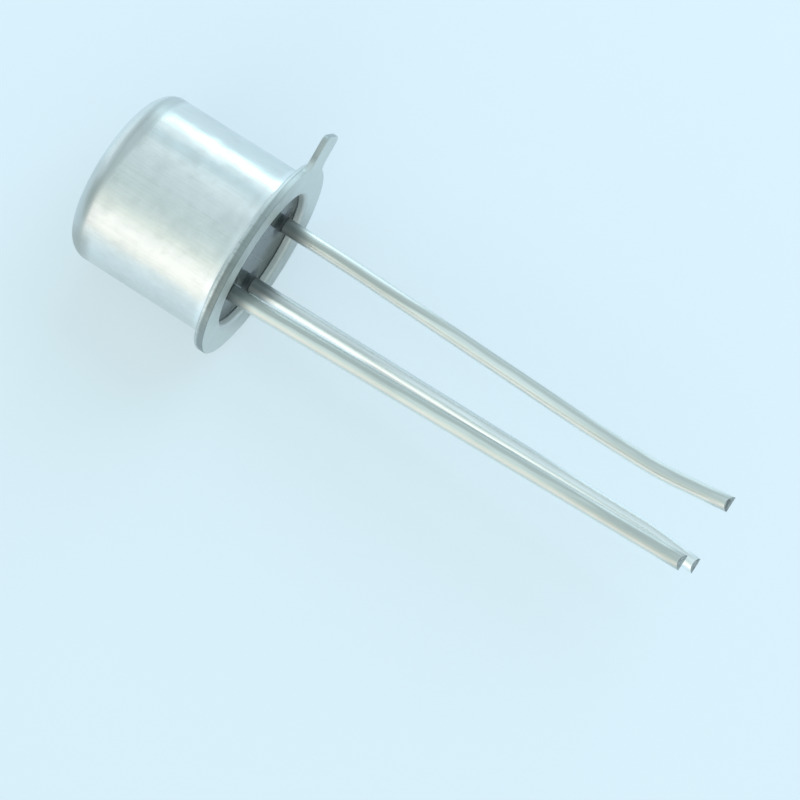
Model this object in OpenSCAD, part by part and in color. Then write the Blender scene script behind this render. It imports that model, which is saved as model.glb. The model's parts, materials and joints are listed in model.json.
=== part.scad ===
// Bipolar transistor in a small metal can with three wire leads.
// The package is drawn upright, seating plane at z = 0, cap up, leads down, index tab along +x.
// It is then laid on its side, as it rests: on the rim of its flange and the corner of its cap.

/* [Cap] */
// Outside diameter of the cap
cap_d = 4.8; // [4.5:0.05:5]
// Height of the cap's top above the seating plane
cap_h = 4.45; // [4.3:0.05:5.4]
// Thickness of the cap's wall and top
cap_wall = 0.2; // [0.12:0.01:0.3]
// Outside radius of the cap's top corner
cap_corner_r = 0.5; // [0.3:0.05:0.9]
// Thickness of the cap's flange
cap_flange_t = 0.11; // [0.08:0.01:0.25]
// Radius where the cap's wall meets its flange
cap_root_r = 0.1; // [0.05:0.01:0.2]

/* [Header] */
// Width of both flanges beyond the cap's wall
flange_w = 0.375; // [0.3:0.005:0.5]
// Thickness of the header's flange and tab
header_flange_t = 0.16; // [0.1:0.01:0.3]
// Height of the platform's top above the seating plane
platform_h = 1.15; // [0.9:0.05:1.6]
// Thickness of the platform
platform_t = 0.15; // [0.1:0.01:0.25]
// Thickness of the eyelet's wall
eyelet_wall = 0.15; // [0.1:0.01:0.25]
// Gap between the eyelet and the cap around it
cap_gap = 0.1; // [0.03:0.01:0.2]
// Radius of the eyelet's drawn mouth
mouth_r = 0.13; // [0.05:0.01:0.15]
// Radius of the flanges' outer edges
rim_r = 0.04; // [0.01:0.005:0.05]

/* [Tab] */
// Width of the index tab
tab_w = 1.05; // [0.9:0.01:1.2]
// Length of the tab beyond the flange
tab_l = 0.9; // [0.7:0.01:1.25]
// Radius at the tab's root
tab_root_r = 0.26; // [0.05:0.01:0.3]
// Radius at the tab's corners
tab_tip_r = 0.2; // [0.03:0.01:0.3]

/* [Glass] */
// Depth of the glass below the seating plane's ring
glass_recess = 0.22; // [0.1:0.01:0.4]
// Width of glass around a lead in the platform's windows
window_gap = 0.2; // [0.1:0.01:0.25]
// Radius of the glass where it climbs a lead or the eyelet
meniscus_r = 0.1; // [0.04:0.01:0.12]

/* [Leads] */
// Diameter of the leads
lead_d = 0.43; // [0.41:0.01:0.48]
// Diameter of the circle through the leads
lead_circle_d = 2.54; // [2.4:0.01:2.6]
// Length of the emitter lead below the seating plane
emitter_l = 13.2; // [12.7:0.1:19]
// Length of the base lead below the seating plane
base_l = 13.3; // [12.7:0.1:19]
// Length of the collector lead below the seating plane
collector_l = 12.9; // [12.7:0.1:19]
// Height of the posts above the platform
post_h = 0.35; // [0.2:0.05:0.6]

/* [Chip] */
// Side of the square chip
die_w = 0.5; // [0.3:0.05:0.8]
// Thickness of the chip
die_t = 0.18; // [0.1:0.01:0.3]
// Thickness of the gold preform
attach_t = 0.03; // [0.02:0.01:0.05]
// Width of the preform beyond the chip
attach_w = 0.06; // [0.02:0.01:0.12]
// Diameter of the bond wires
bond_d = 0.05; // [0.04:0.005:0.08]
// Distance of each bond from the chip's centre
pad_offset = 0.13; // [0.08:0.01:0.15]
// Height of a wire's loop above the higher of its two bonds
loop_h = 0.3; // [0.2:0.05:0.5]

/* [Lying pose] */
// Roll about the package's own axis, which sets how high the tab stands
lie_roll = 75; // [0:1:359]

/* [Hidden] */
$fn = 96;

// Places of the leads around the axis, counted from the tab
emitter_at = 45;
base_at = 135;
collector_at = 225;

// Radii and heights that follow from the sizes above
cap_r = cap_d / 2;
cavity_r = cap_r - cap_wall;
cavity_corner_r = max(cap_corner_r - cap_wall, 0.05);
flange_r = cap_r + flange_w;
flange_top = header_flange_t + cap_flange_t;
eyelet_r = cavity_r - cap_gap;
glass_r = eyelet_r - eyelet_wall;
platform_z = platform_h - platform_t;
lead_r = lead_d / 2;
window_r = lead_r + window_gap;
post_top = platform_h + post_h;
die_top = platform_h + attach_t + die_t;
bond_ball_d = 2 * bond_d;
bond_ball_h = 0.6 * bond_d;
loop_r = 2 * bond_d;

// How much thicker a bend is than its wire, and the angle that it runs past each end
bend_hair = 0.002;
bend_overrun = 0.02;

// Bends of each lead below the seating plane: straight length, angle, radius of the bend.
// The last straight stretch takes up what is left of the lead's length.
emitter_bends = [[1.2, -1.6, 40], [5.9, 1.8, 50], [1, 7, 8]];
base_bends = [[0.45, 0.7, 15], [11, -5.5, 6]];
collector_bends = [[0.35, 1.7, 15]];

// The plane in which a lead bends, counted from the tab
emitter_bend_dir = 90 - lie_roll;
base_bend_dir = 100 - lie_roll;
collector_bend_dir = 82 - lie_roll;

// The line that touches the cap's corner and the flange's rim is the surface that it lies on
touch_run = cap_h - cap_corner_r - (flange_top - rim_r);
touch_rise = (flange_r - rim_r) - (cap_r - cap_corner_r);
lie_tilt = atan2(touch_rise, touch_run) - asin((cap_corner_r - rim_r) / norm([touch_run, touch_rise]));

// Length of the bends i and after, straight and curved stretches together
function bent_length(bends, i = 0) =
    i == len(bends) ? 0 :
    bends[i][0] + abs(bends[i][1]) * PI / 180 * bends[i][2] + bent_length(bends, i + 1);

// Turns the upright package onto its side: tab turned up by the roll, leads along +x
module lie() {
    rotate([0, -90 - lie_tilt, 0]) rotate([0, 0, lie_roll]) children();
}

// Puts something on the lead circle at an angle from the tab
module at_lead(angle) {
    rotate([0, 0, angle]) translate([lead_circle_d / 2, 0, 0]) rotate([0, 0, -angle]) children();
}

// Half section of a disc from z0 to z1, with its upper edge rounded
module disc_section(r, z0, z1, edge) {
    translate([0, z0]) square([r, z1 - z0 - edge]);
    translate([0, z0]) square([r - edge, z1 - z0]);
    translate([r - edge, z1 - edge]) circle(edge);
}

// Hollow corner between a wall at x = 0 and a floor at y = 0
module fillet_section(r) {
    difference() {
        square(r);
        translate([r, r]) circle(r);
    }
}

// A bend of round wire from the origin, heading +z and curving towards +x.
// It is a hair thicker and longer than the straights that it joins, so that they fuse with no seam.
module wire_bend(r, angle, radius) {
    translate([radius, 0, 0]) rotate([90, 0, 180]) rotate([0, 0, -bend_overrun])
        rotate_extrude(angle = angle + 2 * bend_overrun) translate([radius, 0]) circle(r + bend_hair);
}

// Mirrors left and right where a bend goes the other way
module turned(flip) {
    if (flip) mirror([1, 0, 0]) children();
    else children();
}

// Round wire from the origin, heading +z: runs of straight length, angle and radius of the bend after it
module wire(r, runs, i = 0) {
    straight = runs[i][0];
    angle = abs(runs[i][1]);
    radius = runs[i][2];
    flip = runs[i][1] < 0;
    cylinder(r = r, h = straight);
    if (angle > 0)
        translate([0, 0, straight]) turned(flip) {
            wire_bend(r, angle, radius);
            translate([radius * (1 - cos(angle)), 0, radius * sin(angle)]) rotate([0, angle, 0])
                turned(flip) wire(r, runs, i + 1);
        }
}

// A lead from its top at z = top, down through the seating plane to its free end
module lead(top, length, bends) {
    below = [for (i = [0:len(bends) - 1]) i == 0 ? bends[0] + [top, 0, 0] : bends[i]];
    last = [length - bent_length(bends), 0, 0];
    translate([0, 0, top]) rotate([180, 0, 0]) wire(lead_r, concat(below, [last]));
}

// A bond wire that rises from z0, crosses to a point at a distance along +x, and comes down on z1
module bond(z0, z1, distance) {
    loop_z = max(z0, z1) + loop_h;
    rise = loop_z - loop_r - z0;
    drop = loop_z - loop_r - z1;
    translate([0, 0, z0]) {
        cylinder(d = bond_ball_d, h = bond_ball_h);
        wire(bond_d / 2, [[rise, 90, loop_r], [distance - 2 * loop_r, 90, loop_r], [drop, 0, 0]]);
    }
}

// Drawn can with a thin flange
module cap() {
    color("silver") lie() rotate_extrude() difference() {
        union() {
            disc_section(cap_r, header_flange_t, cap_h, cap_corner_r);
            disc_section(flange_r, header_flange_t, flange_top, rim_r);
            translate([cap_r, flange_top]) fillet_section(cap_root_r);
        }
        translate([0, header_flange_t - 1])
            disc_section(cavity_r, 0, cap_h - cap_wall - header_flange_t + 1, cavity_corner_r);
    }
}

// Outline of the header's flange with its tab, fillets at the root and round corners
module flange_outline() {
    tip = flange_r + tab_l;
    half = tab_w / 2;
    fillet_x = sqrt(pow(flange_r + tab_root_r, 2) - pow(half + tab_root_r, 2));
    circle(flange_r);
    translate([0, -half]) square([tip - tab_tip_r, tab_w]);
    translate([0, tab_tip_r - half]) square([tip, tab_w - 2 * tab_tip_r]);
    for (side = [-1, 1]) {
        translate([tip - tab_tip_r, side * (half - tab_tip_r)]) circle(tab_tip_r);
        difference() {
            polygon([[0, 0], [fillet_x, 0], [fillet_x, side * half], [fillet_x, side * (half + tab_root_r)]]);
            translate([fillet_x, side * (half + tab_root_r)]) circle(tab_root_r);
        }
    }
}

// Eyelet: flange with tab, cup wall and platform, with a window for each insulated lead
module header() {
    color("darkgray") lie() difference() {
        union() {
            linear_extrude(header_flange_t) flange_outline();
            rotate_extrude() disc_section(eyelet_r, 0, platform_h, mouth_r);
        }
        rotate_extrude() {
            translate([0, -1]) square([glass_r, platform_z + 1]);
            translate([glass_r, 0]) fillet_section(mouth_r);
        }
        for (angle = [emitter_at, base_at])
            at_lead(angle) translate([0, 0, platform_z - 1]) cylinder(r = window_r, h = platform_t + 2);
    }
}

// Glass in the eyelet and in the windows, climbing a little up the wall and the leads
module glass_seal() {
    color("slategray") lie() difference() {
        union() {
            translate([0, 0, glass_recess]) cylinder(r = glass_r, h = platform_z - glass_recess);
            for (angle = [emitter_at, base_at])
                at_lead(angle) translate([0, 0, glass_recess])
                    cylinder(r = window_r, h = platform_h - glass_recess);
            for (angle = [emitter_at, base_at, collector_at])
                at_lead(angle) translate([0, 0, glass_recess]) mirror([0, 0, 1])
                    rotate_extrude() translate([lead_r, 0]) fillet_section(meniscus_r);
            translate([0, 0, glass_recess]) mirror([0, 0, 1]) rotate_extrude()
                translate([glass_r, 0]) mirror([1, 0]) fillet_section(meniscus_r);
        }
        for (angle = [emitter_at, base_at])
            at_lead(angle) cylinder(r = lead_r, h = platform_h + 1);
        at_lead(collector_at) cylinder(r = lead_r, h = platform_z);
    }
}

// Emitter lead, insulated, with its post beside the chip
module emitter_lead() {
    color("gainsboro") lie() at_lead(emitter_at) rotate([0, 0, emitter_bend_dir])
        lead(post_top, emitter_l, emitter_bends);
}

// Base lead, insulated, with its post beside the chip
module base_lead() {
    color("gainsboro") lie() at_lead(base_at) rotate([0, 0, base_bend_dir])
        lead(post_top, base_l, base_bends);
}

// Collector lead, welded to the underside of the platform
module collector_lead() {
    color("gainsboro") lie() at_lead(collector_at) rotate([0, 0, collector_bend_dir])
        lead(platform_z, collector_l, collector_bends);
}

// Gold preform under the chip
module die_attach() {
    side = die_w + 2 * attach_w;
    color("gold") lie() translate([0, 0, platform_h + attach_t / 2]) cube([side, side, attach_t], center = true);
}

// Silicon chip, whose underside is the collector
module die() {
    color("dimgray") lie() translate([0, 0, die_top - die_t / 2]) cube([die_w, die_w, die_t], center = true);
}

// Bond from the chip to a post, in the upright plane through both
module bond_to_post(angle) {
    color("khaki") lie() rotate([0, 0, angle]) translate([pad_offset, 0, 0])
        bond(die_top, post_top, lead_circle_d / 2 - pad_offset);
}

module emitter_wire() {
    bond_to_post(emitter_at);
}

module base_wire() {
    bond_to_post(base_at);
}

cap();
header();
glass_seal();
emitter_lead();
base_lead();
collector_lead();
die();
die_attach();
emitter_wire();
base_wire();
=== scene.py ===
"""A small metal-can transistor on a pale table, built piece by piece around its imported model."""
import json
import math

import bpy
from mathutils import Matrix, Vector


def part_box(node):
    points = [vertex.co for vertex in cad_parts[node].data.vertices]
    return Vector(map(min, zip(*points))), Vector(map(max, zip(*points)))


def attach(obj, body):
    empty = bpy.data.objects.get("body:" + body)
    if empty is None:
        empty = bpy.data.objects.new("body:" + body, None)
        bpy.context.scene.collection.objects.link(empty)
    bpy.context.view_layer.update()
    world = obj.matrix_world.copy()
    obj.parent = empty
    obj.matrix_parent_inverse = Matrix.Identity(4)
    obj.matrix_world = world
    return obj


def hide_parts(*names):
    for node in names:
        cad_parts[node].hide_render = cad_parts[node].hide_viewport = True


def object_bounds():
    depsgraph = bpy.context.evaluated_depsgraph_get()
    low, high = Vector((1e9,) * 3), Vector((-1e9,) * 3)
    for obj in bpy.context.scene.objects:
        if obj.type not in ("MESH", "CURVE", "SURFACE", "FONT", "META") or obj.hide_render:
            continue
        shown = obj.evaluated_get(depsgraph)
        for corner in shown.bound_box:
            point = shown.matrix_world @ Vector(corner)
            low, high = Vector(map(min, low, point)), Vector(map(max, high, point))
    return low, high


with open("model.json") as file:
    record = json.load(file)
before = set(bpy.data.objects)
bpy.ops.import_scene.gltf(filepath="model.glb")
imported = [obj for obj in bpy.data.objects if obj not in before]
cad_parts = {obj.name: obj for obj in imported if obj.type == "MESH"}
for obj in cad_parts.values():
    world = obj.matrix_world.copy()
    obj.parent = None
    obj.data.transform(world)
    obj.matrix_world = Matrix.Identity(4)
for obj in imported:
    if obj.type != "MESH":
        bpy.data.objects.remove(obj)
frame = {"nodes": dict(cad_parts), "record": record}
cad_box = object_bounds()

# ---------------------------------------------------------------------------------------------
# Cap. A thin cup drawn from nickel strip in one stroke, with its rim turned out into a flange.
# Drawing leaves faint lines along the wall and a matte, darker bend round the top, and handling
# clouds the metal. Shade is painted on the bend and low down on the side away from the tab. It is
# resistance-welded to the header all round its flange.
# ---------------------------------------------------------------------------------------------
MM = 0.001
CAP_R = 2.398 * MM
CAP_TOP = 4.449 * MM
CAP_WALL = 0.2 * MM
CAP_CORNER_R = 0.5 * MM
CAP_ROOT_R = 0.1 * MM
CAP_RIM_R = 0.055 * MM
CAP_RING_STEP = 0.4 * MM
BOX_MARGIN = 0.0035 * MM
FLANGE_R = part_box("cap")[1].y - BOX_MARGIN
HEADER_FLANGE = 0.16 * MM
FLANGE_TOP = HEADER_FLANGE + 0.11 * MM
SEAM_R = 0.012 * MM
POLE_R = 0.001 * MM
MERGE_WITHIN = 0.0002 * MM
AROUND = 198

# The package is modelled upright, cap up and tab along +X, and is then laid down as it rests.
ROLL = math.radians(75)
mounts = {mount["name"]: mount for mount in frame["record"]["mounts"]}
seat_axis = mounts["seating_plane"]["axis"]
TILT = math.atan2(seat_axis[2], seat_axis[0])
LAY_DOWN = Matrix.Rotation(-math.pi / 2 - TILT, 4, "Y") @ Matrix.Rotation(ROLL, 4, "Z")
STAND_UP = LAY_DOWN.inverted()


def start(name, add, **sizes):
    """A new primitive, alone in the selection and open for editing."""
    if bpy.context.object and bpy.context.object.mode == "EDIT":
        bpy.ops.object.mode_set(mode="OBJECT")
    bpy.ops.object.select_all(action="DESELECT")
    add(**sizes)
    piece = bpy.context.object
    piece.name = name
    bpy.ops.object.transform_apply(location=True, rotation=True, scale=True)
    bpy.ops.object.mode_set(mode="EDIT")
    bpy.ops.mesh.select_all(action="SELECT")
    return piece


def arc(centre, radius, start_deg, end_deg, steps):
    """Points of an arc in the half section, from one angle to another; 0 points outwards, 90 up."""
    points = []
    for i in range(steps + 1):
        angle = math.radians(start_deg + (end_deg - start_deg) * i / steps)
        points.append((centre[0] + radius * math.cos(angle), centre[1] + radius * math.sin(angle)))
    return points


def turned(name, outline, around=AROUND):
    """A solid of revolution: a ring is extruded from point to point of its closed half section."""
    radius, height = outline[0]
    piece = start(name, bpy.ops.mesh.primitive_circle_add, vertices=around, radius=radius,
                  location=(0, 0, height))
    for (r0, z0), (r1, z1) in zip(outline, outline[1:] + outline[:1]):
        bpy.ops.mesh.extrude_edges_move(TRANSFORM_OT_translate={"value": (0, 0, z1 - z0)})
        bpy.ops.transform.resize(value=(r1 / r0, r1 / r0, 1), center_override=(0, 0, z1))
    close_up()
    return piece


def close_up():
    """Merges the points that meet, and turns every face outwards."""
    bpy.ops.mesh.select_all(action="SELECT")
    bpy.ops.mesh.remove_doubles(threshold=MERGE_WITHIN)
    bpy.ops.mesh.select_all(action="SELECT")
    bpy.ops.mesh.normals_make_consistent(inside=False)


def lie(piece, sharp_deg=32):
    """Lays a finished piece down with the package, and leaves its object at the origin."""
    bpy.ops.object.mode_set(mode="OBJECT")
    piece.matrix_world = LAY_DOWN
    bpy.ops.object.transform_apply(location=True, rotation=True, scale=True)
    bpy.ops.object.shade_smooth_by_angle(angle=math.radians(sharp_deg))


class Value:
    """A shader socket. Arithmetic on it adds Math nodes, so a finish reads as a formula."""

    def __init__(self, finish, socket):
        self.finish = finish
        self.socket = socket

    def __add__(self, other):
        return self.finish.math("ADD", self, other)

    def __sub__(self, other):
        return self.finish.math("SUBTRACT", self, other)

    def __rsub__(self, other):
        return self.finish.math("SUBTRACT", other, self)

    def __mul__(self, other):
        return self.finish.math("MULTIPLY", self, other)

    def __truediv__(self, other):
        return self.finish.math("DIVIDE", self, other)

    def __rtruediv__(self, other):
        return self.finish.math("DIVIDE", other, self)

    def __abs__(self):
        return self.finish.math("ABSOLUTE", self)

    __radd__ = __add__
    __rmul__ = __mul__


class Finish:
    """A material, or a world, made of nodes."""

    def __init__(self, owner):
        self.owner = owner
        owner.use_nodes = True
        self.tree = owner.node_tree
        self.tree.nodes.clear()

    def add(self, kind, settings=None, sockets=None, output=0):
        """Adds a node: its settings first, then the values or links of its sockets. It gives one
        output, or a list of them where several are named."""
        node = self.tree.nodes.new(kind)
        for key, value in (settings or {}).items():
            if key == "stops":
                set_stops(node.color_ramp, value)
            else:
                setattr(node, key, value)
        for key, value in (sockets or {}).items():
            if isinstance(value, Value):
                self.tree.links.new(value.socket, node.inputs[key])
            else:
                node.inputs[key].default_value = value
        if isinstance(output, tuple):
            return [Value(self, node.outputs[name]) for name in output]
        return Value(self, node.outputs[output]) if len(node.outputs) else None

    def math(self, operation, *values):
        """One Math node."""
        return self.add("ShaderNodeMath", {"operation": operation}, dict(enumerate(values)))

    def place(self, scale=(1, 1, 1)):
        """Object coordinates in the package's upright frame."""
        where = self.add("ShaderNodeTexCoord", output="Object")
        upright = self.add("ShaderNodeMapping", {}, {
            "Vector": where, "Rotation": STAND_UP.to_euler()})
        return self.add("ShaderNodeMapping", {}, {"Vector": upright, "Scale": scale})

    def height(self):
        """Height above the seating plane, in millimetres; the leads run down from it."""
        return self.add("ShaderNodeSeparateXYZ", {}, {0: self.place()}, output=2) / MM

    def tabward(self):
        """Distance in millimetres from the row's middle, towards the tab's side."""
        lying = self.add("ShaderNodeTexCoord", output="Object")
        return self.add("ShaderNodeSeparateXYZ", {}, {0: lying}, output=1) / MM

    def distance(self, point):
        """Distance in millimetres from the upright line through a point."""
        flat = self.place(scale=(1, 1, 0))
        apart = self.add("ShaderNodeVectorMath", {"operation": "DISTANCE"}, {
            0: flat, 1: (point[0], point[1], 0)}, output="Value")
        return apart / MM

    def noise(self, where, scale, detail=3, roughness=0.5):
        """Cloudy variation from 0 to 1; scale is how many clouds fit in a millimetre."""
        return self.add("ShaderNodeTexNoise", {}, {
            "Vector": where, "Scale": scale / MM, "Detail": detail, "Roughness": roughness})

    def attribute(self, name):
        """A number that the piece carries on its points."""
        return self.add("ShaderNodeAttribute", {"attribute_name": name}, output="Fac")

    def between(self, value, low, high, to_low=0, to_high=1):
        """Maps low..high smoothly onto another range."""
        return self.add("ShaderNodeMapRange", {"interpolation_type": "SMOOTHSTEP"}, {
            "Value": value, "From Min": low, "From Max": high, "To Min": to_low, "To Max": to_high})

    def mix(self, factor, a, b):
        """Blends two colours."""
        return self.add("ShaderNodeMix", {"data_type": "RGBA"}, {0: factor, 6: a, 7: b}, output=2)

    def bump(self, height, depth, over=None):
        """Relief: height from 0 to 1 stands for depth in millimetres."""
        sockets = {"Height": height, "Distance": depth * MM, "Strength": 1.0}
        if over is not None:
            sockets["Normal"] = over
        return self.add("ShaderNodeBump", {}, sockets)

    def surface(self, sockets):
        """Ends a material: a Principled shader with these sockets. It gives the material."""
        shader = self.add("ShaderNodeBsdfPrincipled", {}, sockets)
        self.add("ShaderNodeOutputMaterial", {}, {"Surface": shader})
        return self.owner


def set_stops(ramp, stops):
    """Gives a colour ramp its stops."""
    while len(ramp.elements) < len(stops):
        ramp.elements.new(1)
    for element, (position, colour) in zip(ramp.elements, stops):
        element.position = position
        element.color = colour


def finish(name):
    """A new material."""
    return Finish(bpy.data.materials.new(name))


def drawn_nickel():
    """Satin nickel: faint draw lines along the wall, cloudy handling marks, a matte, darker bend
    whose darkening runs on as painted shade on the side away from the tab, painted shade low on
    that side, and a painted highlight at the root."""
    f = finish("drawn_nickel")
    draw_lines = f.noise(f.place(scale=(1, 1, 0.03)), 20, detail=4, roughness=0.6)
    clouds = f.noise(f.place(), 0.9, detail=5, roughness=0.6)
    grain = f.noise(f.place(), 40, detail=3, roughness=0.6)
    mottle = f.noise(f.place(), 3.5, detail=5, roughness=0.7)
    dents = f.noise(f.place(), 1.4, detail=1)
    up = f.height()
    tabward = f.tabward()
    # Painted shade: on the side away from the tab the bend's darkening runs further down.
    painted_shade = f.between(tabward, 0.35, -0.35)
    rise = f.between(up - f.between(tabward, -1.2, 1.2, 0.06, -0.12), 3.82, 3.96)
    bend = rise * f.math("MAXIMUM", painted_shade * 0.85, f.between(up, 4.2, 4.08))
    # Painted shade low on the side away from the tab, standing in for the shaded table mirrored
    # there.
    low_painted_shade = f.between(up, 3.6, 3.9) * f.between(tabward, -1.6, -2.05)
    # Painted highlight along the wall just above the flange.
    root = f.between(up, 0.6, 0.4)
    smudge = f.between(clouds, 0.48, 0.68)
    tone = f.mix(smudge, (0.81, 0.81, 0.785, 1), (0.76, 0.765, 0.74, 1))
    tone = f.mix(f.between(draw_lines, 0.45, 0.75) * 0.3, tone, (0.66, 0.67, 0.645, 1))
    tone = f.mix(f.between(mottle, 0.5, 0.72) * 0.22, tone, (0.60, 0.61, 0.58, 1))
    tone = f.mix(f.between(mottle, 0.46, 0.3) * 0.3, tone, (0.90, 0.90, 0.875, 1))
    tone = f.mix(bend * 0.75, tone, (0.60, 0.615, 0.60, 1))
    tone = f.mix(low_painted_shade * 0.65, tone, (0.44, 0.43, 0.385, 1))
    tone = f.mix(root * 0.8, tone, (0.95, 0.955, 0.94, 1))
    dull = 0.2 + smudge * 0.06 + bend * 0.16 + (draw_lines - 0.5) * 0.06
    relief = f.bump(dents, 0.02)
    relief = f.bump(draw_lines, 0.0006, over=relief)
    relief = f.bump(grain, 0.0006, over=relief)
    return f.surface({
        "Base Color": tone, "Metallic": 1.0, "Roughness": dull, "Normal": relief})


def cut_edge():
    """The blanked edges of the two flanges, with the die's lines across them. The header's strip
    is darker than the cap's, most of all away from the tab; the cap's has a painted highlight off
    the middle, both have a painted highlight towards the tab, and both are lighter on the tab
    itself."""
    f = finish("cut_edge")
    die_lines = f.noise(f.place(scale=(1, 1, 0.12)), 26, detail=3)
    clouds = f.noise(f.place(), 2.5, detail=3)
    seam = HEADER_FLANGE / MM
    on_cap = f.between(f.height() + (clouds - 0.5) * 0.04, seam - 0.04, seam + 0.07)
    tabward = f.tabward()
    sideways = abs(tabward)
    # Painted highlight on the cap's edge off the middle, standing in for bright light mirrored
    # there.
    off_middle = f.between(sideways, 0.9, 1.4) * f.between(sideways, 2.1, 1.8)
    away = f.between(tabward, -0.2, -0.5) * f.between(tabward, -1.9, -1.6)
    # Painted highlight on both edges towards the tab, standing in for the cool light they face.
    painted_light = f.between(tabward, 0.7, 2.3) * f.between(tabward, 2.9, 2.6)
    on_tab = f.between(tabward, 2.7, 2.95)
    header_edge = f.mix(clouds, (0.30, 0.33, 0.325, 1), (0.41, 0.445, 0.435, 1))
    cap_edge = f.mix(clouds, (0.64, 0.675, 0.66, 1), (0.72, 0.75, 0.735, 1))
    cap_edge = f.mix(off_middle, cap_edge, (0.94, 0.96, 0.94, 1))
    tone = f.mix(on_cap, header_edge, cap_edge)
    tone = f.mix(f.between(die_lines, 0.5, 0.8) * 0.5, tone, (0.24, 0.265, 0.26, 1))
    tone = f.mix(away * (1 - on_cap) * 0.5, tone, (0.22, 0.25, 0.24, 1))
    tone = f.mix(painted_light * 0.85, tone, (0.74, 0.76, 0.745, 1))
    tone = f.mix(on_tab * 0.45, tone, (0.66, 0.68, 0.665, 1))
    return f.surface({
        "Base Color": tone, "Metallic": 1.0, "Roughness": 0.4 + die_lines * 0.15,
        "Normal": f.bump(die_lines, 0.003)})


# The cap's half section, from the middle of its top out and down to the flange, and back inside.
corner = (CAP_R - CAP_CORNER_R, CAP_TOP - CAP_CORNER_R)
cap_outline = (
    [(POLE_R, CAP_TOP)]
    + [(i * corner[0] / 4, CAP_TOP) for i in (1, 2, 3)]
    + arc(corner, CAP_CORNER_R, 90, 0, 16)
    + [(CAP_R, corner[1] - i * CAP_RING_STEP) for i in range(1, 9)]
    + arc((CAP_R + CAP_ROOT_R, FLANGE_TOP + CAP_ROOT_R), CAP_ROOT_R, 180, 270, 6)
    + arc((FLANGE_R - CAP_RIM_R, FLANGE_TOP - CAP_RIM_R), CAP_RIM_R, 90, 0, 6)
    + arc((FLANGE_R - SEAM_R, HEADER_FLANGE + SEAM_R), SEAM_R, 0, -90, 3)
    + [(CAP_R - CAP_WALL, HEADER_FLANGE)]
    + arc(corner, CAP_CORNER_R - CAP_WALL, 0, 90, 8)
    + [(POLE_R, CAP_TOP - CAP_WALL)]
)
cap = turned("cap_shell", cap_outline)
lie(cap)
blanked = cut_edge()
cap.data.materials.append(drawn_nickel())
cap.data.materials.append(blanked)
for face in cap.data.polygons:
    from_axis = (STAND_UP @ face.center).xy.length
    face.material_index = 1 if from_axis > FLANGE_R - CAP_RIM_R / 2 else 0
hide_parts("cap")
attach(cap, "root")

# ---------------------------------------------------------------------------------------------
# Header. The eyelet is pressed from nickel-iron sheet: a flange with the index tab, a short wall
# and the platform that carries the chip. Its plating is duller than the cap's, and the cut edge
# of the flange and tab keeps the lines of the blanking die.
# ---------------------------------------------------------------------------------------------
PLATFORM_TOP = 1.15 * MM
PLATFORM = 0.15 * MM
EYELET_R = 2.1 * MM
GLASS_R = 1.95 * MM
MOUTH_R = 0.12 * MM
TAB_W = 1.05 * MM
TAB_TIP = FLANGE_R + 0.9 * MM
TAB_ROOT_R = 0.26 * MM
TAB_TIP_R = 0.2 * MM
RIM_R = 0.035 * MM
LEAD_CIRCLE_R = 1.27 * MM
EMITTER_AT, BASE_AT, COLLECTOR_AT = 45, 135, 225
LEAD_R = mounts["collector_pin"]["dims"]["r_mm"] * MM
WINDOW_R = LEAD_R + 0.2 * MM
SAME_PLACE = 0.001 * MM


def middle(mesh, item):
    """The centre of a face, edge or point."""
    if hasattr(item, "center"):
        return item.center
    if hasattr(item, "co"):
        return item.co
    return sum((mesh.vertices[i].co for i in item.vertices), Vector()) / len(item.vertices)


def pick(kind, wanted):
    """Selects the faces, edges or points for which wanted(centre, item) holds."""
    bpy.ops.mesh.select_mode(type=kind)
    bpy.ops.mesh.select_all(action="DESELECT")
    bpy.ops.object.mode_set(mode="OBJECT")
    mesh = bpy.context.object.data
    for item in {"FACE": mesh.polygons, "EDGE": mesh.edges, "VERT": mesh.vertices}[kind]:
        item.select = bool(wanted(middle(mesh, item), item))
    bpy.ops.object.mode_set(mode="EDIT")


def up_to_date(piece):
    """The mesh of the piece being edited, with the edits in it."""
    bpy.ops.object.mode_set(mode="OBJECT")
    bpy.ops.object.mode_set(mode="EDIT")
    return piece.data


def on_circle(angle_deg):
    """The point on the lead circle at an angle from the tab."""
    angle = math.radians(angle_deg)
    return Vector((LEAD_CIRCLE_R * math.cos(angle), LEAD_CIRCLE_R * math.sin(angle), 0))


def cut_or_join(piece, other, operation):
    """Joins another solid to a piece or cuts it away, and removes the other."""
    bpy.ops.object.mode_set(mode="OBJECT")
    bpy.ops.object.select_all(action="DESELECT")
    piece.select_set(True)
    bpy.context.view_layer.objects.active = piece
    change = piece.modifiers.new("change", "BOOLEAN")
    change.object = other
    change.operation = operation
    change.solver = "EXACT"
    bpy.ops.object.modifier_apply(modifier="change")
    bpy.data.objects.remove(other)
    bpy.ops.object.mode_set(mode="EDIT")


def rod(name, radius, angle_deg, low, high, around=48):
    """A round rod on the lead circle, to be cut away or joined on."""
    place = on_circle(angle_deg)
    return start(name, bpy.ops.mesh.primitive_cylinder_add, vertices=around, radius=radius,
                 depth=high - low, location=(place.x, place.y, (low + high) / 2))


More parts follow.
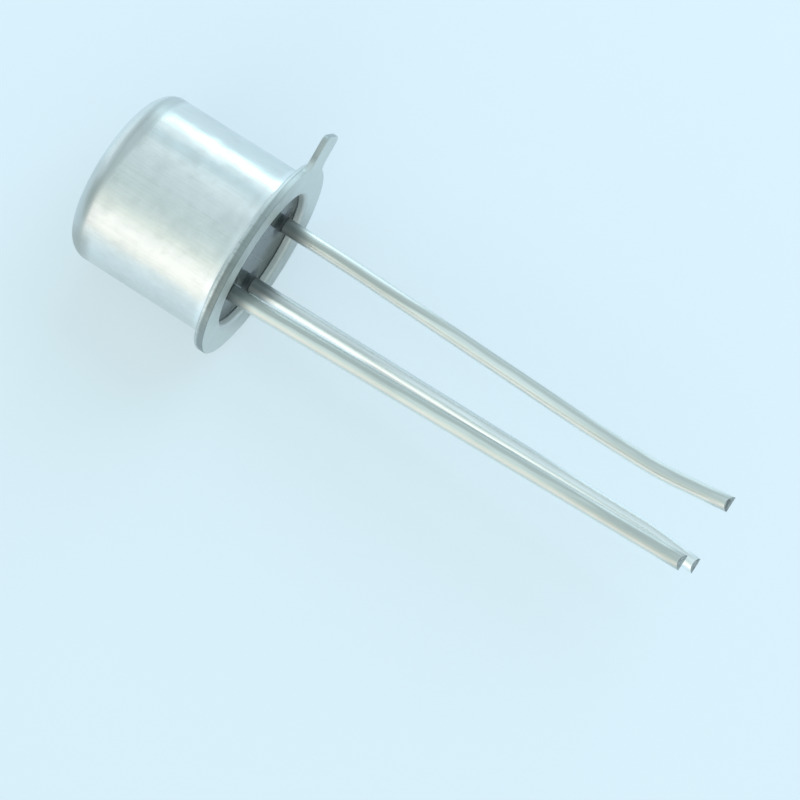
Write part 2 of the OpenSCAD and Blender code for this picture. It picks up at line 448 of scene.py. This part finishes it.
def dull_plating():
    """Matte plated sheet: fine grain and grey-green clouds, rougher inside the mouth and painted
    lighter there, most on the side away from the tab, and painted lighter towards the rim on both
    sides, so that the middle, where the leads' shade falls, stays darker as painted shade."""
    f = finish("dull_plating")
    clouds = f.noise(f.place(), 1.6, detail=5, roughness=0.6)
    grain = f.noise(f.place(), 30, detail=3, roughness=0.7)
    inside = f.between(f.height(), 0.01, 0.1)
    tabward = f.tabward()
    # Painted shade: the middle below the leads, where their shade falls, stays darker than the
    # sides.
    lit_sides = f.between(abs(tabward), 1.3, 2.2)
    tone = f.mix(f.between(clouds, 0.35, 0.7), (0.58, 0.595, 0.57, 1), (0.50, 0.52, 0.49, 1))
    tone = f.mix(f.between(grain, 0.5, 0.8) * 0.4, tone, (0.40, 0.42, 0.40, 1))
    tone = f.mix(lit_sides * 0.65, tone, (0.82, 0.835, 0.815, 1))
    # Painted light: the mouth's wall and lip are lightened, most on the side away from the tab.
    tone = f.mix(inside * 0.85, tone, (0.95, 0.96, 0.94, 1))
    tone = f.mix(inside * f.between(tabward, -0.8, -1.4) * 0.8, tone, (0.98, 0.99, 0.97, 1))
    dull = 0.46 + inside * 0.2 + (clouds - 0.5) * 0.15 + (grain - 0.5) * 0.1
    return f.surface({
        "Base Color": tone, "Metallic": 1.0, "Roughness": dull,
        "Normal": f.bump(grain, 0.0015)})


# The flange and its tab are blanked in one: the rim's circle opens into the tab's outline, a
# little wider than the tab so that the tab's root has room for its radius.
half_angle = math.asin(TAB_W / 2 / FLANGE_R)
open_angle = half_angle + TAB_ROOT_R * 1.4 / FLANGE_R
root_x = FLANGE_R * math.cos(half_angle)
header = start("header_eyelet", bpy.ops.mesh.primitive_circle_add, vertices=AROUND, radius=FLANGE_R)
pick("VERT", lambda c, point: abs(math.atan2(c.y, c.x)) < open_angle)
bpy.ops.mesh.delete(type="VERT")
for side in (1, -1):
    here = min((v.co for v in up_to_date(header).vertices if v.co.y * side > 0),
               key=lambda c: abs(math.atan2(c.y, c.x))).copy()
    pick("VERT", lambda c, point: (c - here).length < SAME_PLACE)
    for corner_x in (root_x, TAB_TIP):
        step = Vector((corner_x, side * TAB_W / 2, 0)) - here
        bpy.ops.mesh.extrude_vertices_move(TRANSFORM_OT_translate={"value": step})
        here = here + step
bpy.ops.mesh.select_all(action="SELECT")
bpy.ops.mesh.edge_face_add()
for corner_x, radius in ((root_x, TAB_ROOT_R), (TAB_TIP, TAB_TIP_R)):
    pick("VERT", lambda c, point: abs(c.x - corner_x) < SAME_PLACE
         and abs(abs(c.y) - TAB_W / 2) < SAME_PLACE)
    bpy.ops.mesh.bevel(offset=radius, segments=8, affect="VERTICES")
bpy.ops.mesh.select_all(action="SELECT")
bpy.ops.mesh.extrude_region_move(TRANSFORM_OT_translate={"value": (0, 0, HEADER_FLANGE)})
close_up()

# The blanked edge is dark, and slightly rounded where it meets both faces.
header.data.materials.append(dull_plating())
header.data.materials.append(blanked)
pick("FACE", lambda c, face: abs(face.normal.z) < 0.1)
header.active_material_index = 1
bpy.ops.object.material_slot_assign()
for level, radius in ((0.0, RIM_R), (HEADER_FLANGE, SEAM_R)):
    pick("EDGE", lambda c, edge: abs(c.z - level) < SAME_PLACE)
    bpy.ops.mesh.bevel(offset=radius, segments=3, affect="EDGES")

# The cup behind it is drawn from the same strip, and its mouth is flared over a radius.
cup_outline = (
    [(POLE_R, PLATFORM_TOP), (EYELET_R / 2, PLATFORM_TOP)]
    + arc((EYELET_R - MOUTH_R, PLATFORM_TOP - MOUTH_R), MOUTH_R, 90, 0, 6)
    + [(EYELET_R, HEADER_FLANGE / 2), (POLE_R, HEADER_FLANGE / 2)]
)
bore_outline = (
    [(POLE_R, -MOUTH_R), (GLASS_R + MOUTH_R, -MOUTH_R)]
    + arc((GLASS_R + MOUTH_R, MOUTH_R), MOUTH_R, 270, 180, 8)
    + [(GLASS_R, PLATFORM_TOP - PLATFORM), (POLE_R, PLATFORM_TOP - PLATFORM)]
)
cut_or_join(header, turned("cup", cup_outline), "UNION")
cut_or_join(header, turned("bore", bore_outline), "DIFFERENCE")
for angle in (EMITTER_AT, BASE_AT):
    window = rod("window", WINDOW_R, angle, PLATFORM_TOP - 2 * PLATFORM, PLATFORM_TOP + PLATFORM)
    cut_or_join(header, window, "DIFFERENCE")
lie(header)
weights = header.modifiers.new("flats", "WEIGHTED_NORMAL")
weights.keep_sharp = True
bpy.ops.object.modifier_apply(modifier="flats")
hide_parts("header")
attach(header, "root")

# ---------------------------------------------------------------------------------------------
# Glass seal. A ring of dark glass melted into the eyelet: it holds the leads and keeps the air
# out. Its face sags between them and climbs a little up each lead and up the wall.
# ---------------------------------------------------------------------------------------------
GLASS_FACE = 0.25 * MM
GLASS_TOP = PLATFORM_TOP - PLATFORM
MENISCUS = 0.1 * MM
WALL_MENISCUS = 0.025 * MM
SAG = 0.02 * MM
PLUG_ROOT = GLASS_FACE + 0.3 * MM
COLLAR_BORE_R = LEAD_R * 0.6
COLLAR_TOP = GLASS_FACE + 2 * SAG


def sealing_glass():
    """Dark grey glass, glossy, with bubbles under its skin and a black, rougher halo round each
    wire."""
    f = finish("sealing_glass")
    clouds = f.noise(f.place(), 1.3, detail=4)
    cells = f.add("ShaderNodeTexVoronoi", {"feature": "F1"}, {
        "Vector": f.place(), "Scale": 5 / MM}, output="Distance")
    bubbles = f.between(cells, 0.05, 0.16, 1, 0)
    ripple = f.noise(f.place(), 2.2, detail=2)
    nearest = f.distance(on_circle(EMITTER_AT))
    for angle in (BASE_AT, COLLECTOR_AT):
        nearest = f.math("MINIMUM", nearest, f.distance(on_circle(angle)))
    halo = f.between(nearest - LEAD_R / MM, 0.02, 0.36, 1, 0)
    tone = f.mix(f.between(clouds, 0.35, 0.65), (0.025, 0.036, 0.034, 1), (0.045, 0.058, 0.054, 1))
    tone = f.mix(bubbles * 0.4, tone, (0.12, 0.14, 0.135, 1))
    tone = f.mix(halo * 0.8, tone, (0.012, 0.015, 0.016, 1))
    relief = f.bump(ripple, 0.012)
    relief = f.bump(bubbles, 0.004, over=relief)
    return f.surface({
        "Base Color": tone, "Roughness": 0.17 + bubbles * 0.1 + halo * 0.25, "Normal": relief,
        "IOR": 1.5})


glass_outline = (
    [(POLE_R, GLASS_TOP), (GLASS_R / 2, GLASS_TOP), (GLASS_R, GLASS_TOP)]
    + arc((GLASS_R - WALL_MENISCUS, GLASS_FACE - WALL_MENISCUS), WALL_MENISCUS, 0, 90, 5)
    + [(GLASS_R * 0.7, GLASS_FACE + SAG / 2), (GLASS_R * 0.4, GLASS_FACE + SAG)]
    + [(POLE_R, GLASS_FACE + SAG)]
)
collar_outline = (
    arc((LEAD_R + MENISCUS, GLASS_FACE - MENISCUS), MENISCUS, 180, 90, 8)
    + [(LEAD_R + MENISCUS * 1.5, COLLAR_TOP), (COLLAR_BORE_R, COLLAR_TOP)]
    + [(COLLAR_BORE_R, GLASS_FACE - MENISCUS)]
)
# A plug of glass fills each window of the platform; then each wire gets its collar and its hole.
glass = turned("glass_seal_body", glass_outline)
for angle in (EMITTER_AT, BASE_AT):
    cut_or_join(glass, rod("plug", WINDOW_R, angle, PLUG_ROOT, PLATFORM_TOP), "UNION")
for angle in (EMITTER_AT, BASE_AT, COLLECTOR_AT):
    collar = turned("collar", collar_outline, around=64)
    bpy.ops.transform.translate(value=on_circle(angle))
    cut_or_join(glass, collar, "UNION")
    top = GLASS_TOP if angle == COLLECTOR_AT else PLATFORM_TOP + PLATFORM
    hole = rod("hole", LEAD_R, angle, GLASS_FACE - 2 * MENISCUS, top, around=64)
    cut_or_join(glass, hole, "DIFFERENCE")
lie(glass, sharp_deg=40)
glass.data.materials.append(sealing_glass())
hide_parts("glass_seal")
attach(glass, "root")

# ---------------------------------------------------------------------------------------------
# Leads. Three nickel-iron wires, dipped in tin, which leave the glass side by side and have been
# bent a little in handling. Each end was cut with shears, so it has an oblique bare face. The
# emitter's and base's tops are posts beside the chip; the collector's is welded to the platform.
# ---------------------------------------------------------------------------------------------
POST_TOP = PLATFORM_TOP + 0.35 * MM
WIRE_SIDES = 48
BEND_STEP = math.radians(1)
STRAIGHT_STEP = 0.8 * MM
BLADE_MERGE = 0.0001 * MM


def run_wire(name, place, top, bend_dir_deg, runs):
    """A wire drawn from its top down: straight stretches by extrusion, bends by spinning its end.
    Each run is a straight length, the bend's angle in degrees and the bend's radius."""
    heading = Vector((0, 0, -1))
    side = Matrix.Rotation(math.radians(bend_dir_deg), 3, "Z") @ Vector((1, 0, 0))
    here = Vector((place.x, place.y, top))
    piece = start(name, bpy.ops.mesh.primitive_circle_add, vertices=WIRE_SIDES, radius=LEAD_R,
                  fill_type="NGON", location=here)
    bpy.ops.mesh.select_mode(type="FACE")
    for straight, angle_deg, radius in runs:
        steps = max(1, round(straight / STRAIGHT_STEP))
        for _ in range(steps):
            bpy.ops.mesh.extrude_region_move(
                TRANSFORM_OT_translate={"value": heading * straight / steps})
        here = here + heading * straight
        if angle_deg:
            angle = math.radians(angle_deg)
            towards = side if angle > 0 else -side
            axis = heading.cross(towards)
            centre = here + towards * radius
            bpy.ops.mesh.spin(steps=max(3, round(abs(angle) / BEND_STEP)), angle=-abs(angle),
                              center=centre, axis=axis)
            turn = Matrix.Rotation(abs(angle), 3, axis)
            here = centre + turn @ (here - centre)
            heading = turn @ heading
            side = turn @ side
    close_up()
    return piece, here


def nip_off(here, ridge_x, lean_deg):
    """Cuts the wire with two blades, from above and below: a ridge across its end."""
    out = STAND_UP.to_3x3() @ Vector((1, 0, 0))
    up = STAND_UP.to_3x3() @ Vector((0, 0, 1))
    ridge = here + out * (ridge_x - (LAY_DOWN @ here).x)
    for side in (1, -1):
        lean = math.radians(lean_deg * side)
        bpy.ops.mesh.select_all(action="SELECT")
        bpy.ops.mesh.bisect(plane_co=ridge, plane_no=out * math.cos(lean) + up * math.sin(lean),
                            use_fill=True, clear_outer=True, threshold=BLADE_MERGE)


def tinned_wire(name, tin, oxide_to, grime, shift, painted_shade):
    """Dipped tin over wire, painted in three tones by which way each side faces: painted shade on
    the side towards the tab's side, a painted highlight in the middle and a plainer tone below.
    shift turns the painted shade a little near the glass. The dip stopped short of the glass, where
    the wire is oxidised, and handling has darkened the ends. More painted shade darkens the upper
    edge near the glass and the lower side along the middle, and the upper edge is painted light
    further out."""
    bright, plain, shade_and_cloud_tin = tin
    f = finish(name)
    across = f.attribute("across")
    streaks = f.noise(f.place(scale=(1, 1, 0.04)), 5, detail=3, roughness=0.5)
    clouds = f.noise(f.place(scale=(1, 1, 0.4)), 1.2, detail=4, roughness=0.6)
    waver = f.noise(f.place(scale=(1, 1, 0.25)), 1.6, detail=3, roughness=0.6)
    grains = f.noise(f.place(), 14, detail=3)
    out = 0 - f.height()
    near_glass = f.between(out, 5.2, 2.8)
    # Painted shade: the side facing the tab's side gets the darkest tone, the middle a painted
    # highlight.
    shade_line = across + (waver - 0.5) * 0.5 + near_glass * shift
    # The upper edge is painted lighter further out, and painted shade darkens it near the glass.
    rim = shade_line + f.between(out, 7.5, 10.5) * 0.35 - near_glass * painted_shade
    shaded_side = f.between(shade_line, 0.05, 0.4) * f.between(rim, 1.25, 0.8)
    low = f.between(across, -0.2, -0.55) * f.between(across, -0.97, -0.75)
    # Painted shade on the lower side along the middle, where the next lead's shade falls.
    painted_light = f.between(out, 3, 3.8) * f.between(out, 7.2, 6.2) * f.between(across, -0.45, -0.7)
    handled = f.between(out, 7.5, 11) * f.between(across, 0.5, 0.1) * f.between(across, -0.7, -0.4)
    oxide = f.between(out + (waver - 0.5) * 0.4, oxide_to, 0.1)
    tone = f.mix(low, bright, plain)
    tone = f.mix(shaded_side, tone, shade_and_cloud_tin)
    tone = f.mix(f.between(streaks, 0.5, 0.72) * 0.2, tone, (0.47, 0.48, 0.44, 1))
    tone = f.mix(f.between(clouds, 0.5, 0.75) * 0.25, tone, shade_and_cloud_tin)
    tone = f.mix(painted_light * painted_shade * 1.5, tone, (0.40, 0.41, 0.39, 1))
    tone = f.mix(handled * grime, tone, (0.36, 0.37, 0.345, 1))
    tone = f.mix(oxide * 0.85, tone, (0.22, 0.245, 0.245, 1))
    dull = 0.28 + (clouds - 0.4) * 0.2 + oxide * 0.15
    relief = f.bump(clouds, 0.02)
    relief = f.bump(grains, 0.0015, over=relief)
    return f.surface({
        "Base Color": tone, "Metallic": 1.0, "Roughness": dull, "Normal": relief})


def bare_cut():
    """The nipped face: bare nickel-iron with the marks of the blades."""
    f = finish("bare_cut")
    marks = f.noise(f.place(scale=(1, 0.1, 1)), 30, detail=3)
    blots = f.noise(f.place(), 6, detail=2)
    tone = f.mix(f.between(marks, 0.35, 0.65), (0.34, 0.36, 0.36, 1), (0.56, 0.57, 0.55, 1))
    tone = f.mix(f.between(blots, 0.5, 0.62) * 0.7, tone, (0.16, 0.17, 0.17, 1))
    return f.surface({
        "Base Color": tone, "Metallic": 1.0, "Roughness": 0.42 + marks * 0.1,
        "Normal": f.bump(marks, 0.006)})


cut_face = bare_cut()
# Each lead's tin has three tones: a painted highlight, a middle tone and painted shade.
PLAIN_TIN = ((0.90, 0.91, 0.87, 1), (0.71, 0.72, 0.685, 1), (0.55, 0.56, 0.52, 1))
GREY_TIN = ((0.84, 0.85, 0.80, 1), (0.66, 0.67, 0.63, 1), (0.51, 0.52, 0.48, 1))
BRIGHT_TIN = ((0.98, 0.99, 0.97, 1), (0.93, 0.94, 0.92, 1), (0.71, 0.72, 0.70, 1))
CUTS_BEYOND = 10 * MM

# Lengths are in millimetres. A bend is the straight run before it, its angle in degrees and its
# radius. A positive bend turns to bend_to, in degrees from overhead towards the tab's side. The
# cut's ridge lies at ridge_x along the row, and lean is how far its two sides lean back.
leads = [
    dict(name="emitter_wire_lead", node="emitter_lead", angle=EMITTER_AT, top=POST_TOP,
         bend_to=90, length=13.4, bends=[(1.2, -1.6, 40), (5.9, 1.8, 50), (1, 7, 8)],
         ridge_x=13.20, lean=44,
         finish=dict(tin=PLAIN_TIN, oxide_to=0.7, grime=0.42, shift=0.6, painted_shade=0)),
    dict(name="base_wire_lead", node="base_lead", angle=BASE_AT, top=POST_TOP,
         bend_to=100, length=13.55, bends=[(0.45, 0.7, 15), (11, -5.5, 6)],
         ridge_x=13.366, lean=38,
         finish=dict(tin=BRIGHT_TIN, oxide_to=0.75, grime=0.05, shift=0.3, painted_shade=0.4)),
    dict(name="collector_wire_lead", node="collector_lead", angle=COLLECTOR_AT, top=GLASS_TOP,
         bend_to=82, length=13.1, bends=[(0.35, 1.7, 15)],
         ridge_x=12.765, lean=40,
         finish=dict(tin=GREY_TIN, oxide_to=0.7, grime=0.5, shift=0.15, painted_shade=0)),
]
wires = []
for spec in leads:
    bent = sum(run + math.radians(abs(angle)) * radius for run, angle, radius in spec["bends"])
    runs = [(run * MM, angle, radius * MM) for run, angle, radius in spec["bends"]]
    runs[0] = (runs[0][0] + spec["top"],) + runs[0][1:]
    runs.append(((spec["length"] - bent) * MM, 0, 0))
    bend_dir = spec["bend_to"] - math.degrees(ROLL)
    lead, tip = run_wire(spec["name"], on_circle(spec["angle"]), spec["top"], bend_dir, runs)
    nip_off(tip, spec["ridge_x"] * MM, spec["lean"])
    lie(lead)
    # across: how far each point faces the tab's side; it sets where highlight and shade are
    # painted.
    across = lead.data.attributes.new("across", "FLOAT", "POINT")
    across.data.foreach_set("value", [point.normal.y for point in lead.data.vertices])
    lead.data.materials.append(tinned_wire(spec["name"] + "_tin", **spec["finish"]))
    lead.data.materials.append(cut_face)
    for face in lead.data.polygons:
        face.material_index = 1 if len(face.vertices) > 4 and face.center.x > CUTS_BEYOND else 0
    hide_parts(spec["node"])
    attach(lead, "root")
    wires.append(lead)

# ---------------------------------------------------------------------------------------------
# Chip, preform and bond wires. Sealed in the can: a silicon chip alloyed to the platform with a
# gold preform, and two gold wires bonded from its face to the posts. They keep their CAD shape.
# ---------------------------------------------------------------------------------------------
def silicon():
    """Polished silicon with the dull squares of its metal pads."""
    f = finish("silicon")
    squares = f.add("ShaderNodeTexBrick", {"offset": 0.0}, {
        "Vector": f.place(), "Color1": (0.62, 0.62, 0.6, 1), "Color2": (0.58, 0.58, 0.57, 1),
        "Mortar": (0.09, 0.1, 0.13, 1), "Scale": 1 / MM, "Mortar Size": 0.045,
        "Brick Width": 0.25, "Row Height": 0.25})
    haze = f.noise(f.place(), 12, detail=2)
    return f.surface({
        "Base Color": squares, "Metallic": 0.6, "Roughness": 0.15 + haze * 0.15})


def soft_gold():
    """Annealed gold, satin, with a fine grain."""
    f = finish("soft_gold")
    grain = f.noise(f.place(), 40, detail=3)
    tone = f.mix(grain, (0.90, 0.70, 0.33, 1), (0.78, 0.58, 0.24, 1))
    return f.surface({
        "Base Color": tone, "Metallic": 1.0, "Roughness": 0.25 + grain * 0.15,
        "Normal": f.bump(grain, 0.001)})


gold = soft_gold()
chip_finishes = {"die": silicon(), "die_attach": gold, "emitter_wire": gold, "base_wire": gold}
for node, material in chip_finishes.items():
    materials = frame["nodes"][node].data.materials
    materials.clear()
    materials.append(material)

# ---------------------------------------------------------------------------------------------
# Table. A pale blue sheet, wide enough to fill every view. What looks at it directly sees half
# its own glow, and what looks at it in a mirror less, so that the shadow on it stays as light as
# on a sheet lit from all sides.
# ---------------------------------------------------------------------------------------------
TABLE_Z = cad_box[0].z
TABLE_HALF = 2.0
PALE_BLUE = (0.766, 0.874, 0.94, 1)
GLOW_TINT = (0.766, 0.874, 0.90, 1)
BLACK = (0, 0, 0, 1)
OWN_GLOW = 0.46
MIRRORED_GLOW = 0.3


def pale_sheet():
    """Pale blue sheet with a slight sheen."""
    f = finish("pale_sheet")
    camera, glossy, through = f.add("ShaderNodeLightPath", output=(
        "Is Camera Ray", "Is Glossy Ray", "Is Transmission Ray"))
    mirrored = f.math("MAXIMUM", glossy, through)
    seen = f.math("MAXIMUM", camera * OWN_GLOW, mirrored * MIRRORED_GLOW)
    return f.surface({
        "Base Color": f.mix(seen, PALE_BLUE, BLACK),
        "Emission Color": f.mix(seen, BLACK, GLOW_TINT),
        "Emission Strength": 1.0, "Roughness": 0.3, "IOR": 1.45})


table = start("table", bpy.ops.mesh.primitive_plane_add, size=2 * TABLE_HALF,
              location=(0, 0, TABLE_Z))
bpy.ops.mesh.subdivide(number_cuts=8)
bpy.ops.object.mode_set(mode="OBJECT")
table.data.materials.append(pale_sheet())

# ---------------------------------------------------------------------------------------------
# Light. A tent: grey-blue overhead, bright low on both long sides of the part, warm on one and
# cool on the other, with darker ends. A soft lamp, which the metal doesn't mirror, gives the table
# its shadow, and a short low strip is mirrored in the part alone.
# ---------------------------------------------------------------------------------------------
tent = Finish(bpy.data.worlds.new("tent"))
bpy.context.scene.world = tent.owner
towards = tent.add("ShaderNodeTexCoord", output="Generated")
x, y, z = tent.add("ShaderNodeSeparateXYZ", {}, {0: towards}, output=(0, 1, 2))
round_part = tent.math("ARCTAN2", y, z) / (2 * math.pi) + 0.5

# Degrees from overhead, towards the cool side where positive, and the tent's colour there.
tent_colours = [
    (-97, (0.80, 0.88, 0.86)), (-86, (1.08, 1.15, 1.12)), (-74, (1.25, 1.29, 1.26)),
    (-62, (1.26, 1.31, 1.29)), (-52, (1.11, 1.19, 1.16)), (-43, (0.96, 1.07, 1.03)),
    (-34, (0.83, 0.97, 0.95)), (-22, (0.72, 0.87, 0.89)), (-10, (0.655, 0.82, 0.855)),
    (12, (0.665, 0.835, 0.885)), (26, (0.71, 0.875, 0.955)), (38, (0.77, 0.95, 1.02)),
    (49, (0.87, 1.06, 1.14)), (57, (0.77, 0.98, 1.07)), (65, (0.62, 0.84, 0.94)),
    (72, (0.68, 0.90, 1.03)), (79, (0.94, 1.15, 1.25)), (85, (1.07, 1.27, 1.33)),
    (91, (1.10, 1.36, 1.40)), (100, (1.12, 1.38, 1.42)),
]
ramp_stops = [(0.5 + angle / 360, colour + (1,)) for angle, colour in tent_colours]
sky = tent.add("ShaderNodeValToRGB", {"stops": ramp_stops}, {"Fac": round_part})

# Along the package's axis, the cap's end of the tent is dark round a pale middle, and the leads'
# end is dark low down.
along = x * math.cos(TILT) + z * math.sin(TILT)
cap_middle = tent.between(along, -0.5, -0.72) * tent.between(y, -0.4, -0.1)
cap_end = tent.mix(cap_middle, (0.42, 0.53, 0.545, 1), (0.76, 0.94, 1.02, 1))
lead_end = tent.mix(tent.between(z, 0.1, 0.65), (0.40, 0.51, 0.515, 1), (0.62, 0.78, 0.785, 1))
cap_side = along - tent.between(y, 0.3, 0.7) * 0.03
sky = tent.mix(tent.between(cap_side, -0.29, -0.42), sky, cap_end)
sky = tent.mix(tent.between(along, 0.36, 0.64), sky, lead_end)
sky = tent.mix(tent.add("ShaderNodeLightPath", output="Is Camera Ray"), sky, PALE_BLUE)
background = tent.add("ShaderNodeBackground", {}, {"Color": sky, "Strength": 1.0})
tent.add("ShaderNodeOutputWorld", {}, {"Surface": background})


def lamp(name, place, size, energy, colour, mirrored):
    """A soft lamp that faces the part: it is either mirrored in metal, or lights what is dull."""
    bpy.ops.object.select_all(action="DESELECT")
    bpy.ops.object.light_add(type="AREA", location=place)
    light = bpy.context.object
    light.name = name
    light.data.shape = "RECTANGLE"
    light.data.size, light.data.size_y = size
    light.data.energy = energy
    light.data.color = colour
    light.rotation_euler = (-Vector(place)).to_track_quat("-Z", "Y").to_euler()
    light.visible_camera = False
    light.visible_glossy = mirrored
    light.visible_diffuse = not mirrored
    return light


lamp("key_lamp", place=(30 * MM, 130 * MM, 110 * MM), size=(120 * MM, 120 * MM), energy=0.10,
     colour=(0.70, 0.94, 1.30), mirrored=False)
strip = lamp("low_strip", place=(-5 * MM, 18 * MM, -0.3 * MM), size=(6 * MM, 5 * MM),
             energy=0.000087, colour=(0.75, 1.12, 1.2), mirrored=True)
shiny = bpy.data.collections.new("mirrors_low_strip")
for piece in (cap, header, glass, *wires):
    shiny.objects.link(piece)
strip.light_linking.receiver_collection = shiny

# ---------------------------------------------------------------------------------------------
# Camera. It looks straight down on the part, which lies across the view at a third of a right
# angle, from about three times the part's length.
# ---------------------------------------------------------------------------------------------
CAMERA_AT = (4.8 * MM, -1.1 * MM, 51.8 * MM)
CAMERA_TURN = math.radians(32.57)
LENS = 91.8

bpy.ops.object.select_all(action="DESELECT")
bpy.ops.object.camera_add(location=CAMERA_AT, rotation=(0, 0, CAMERA_TURN))
camera = bpy.context.object
camera.name = "camera"
camera.data.lens = LENS
camera.data.clip_start = 1 * MM
camera.data.clip_end = 10
bpy.context.scene.camera = camera
bpy.context.scene.view_settings.view_transform = "Standard"

# Brings every object up to date.
bpy.context.view_layer.update()
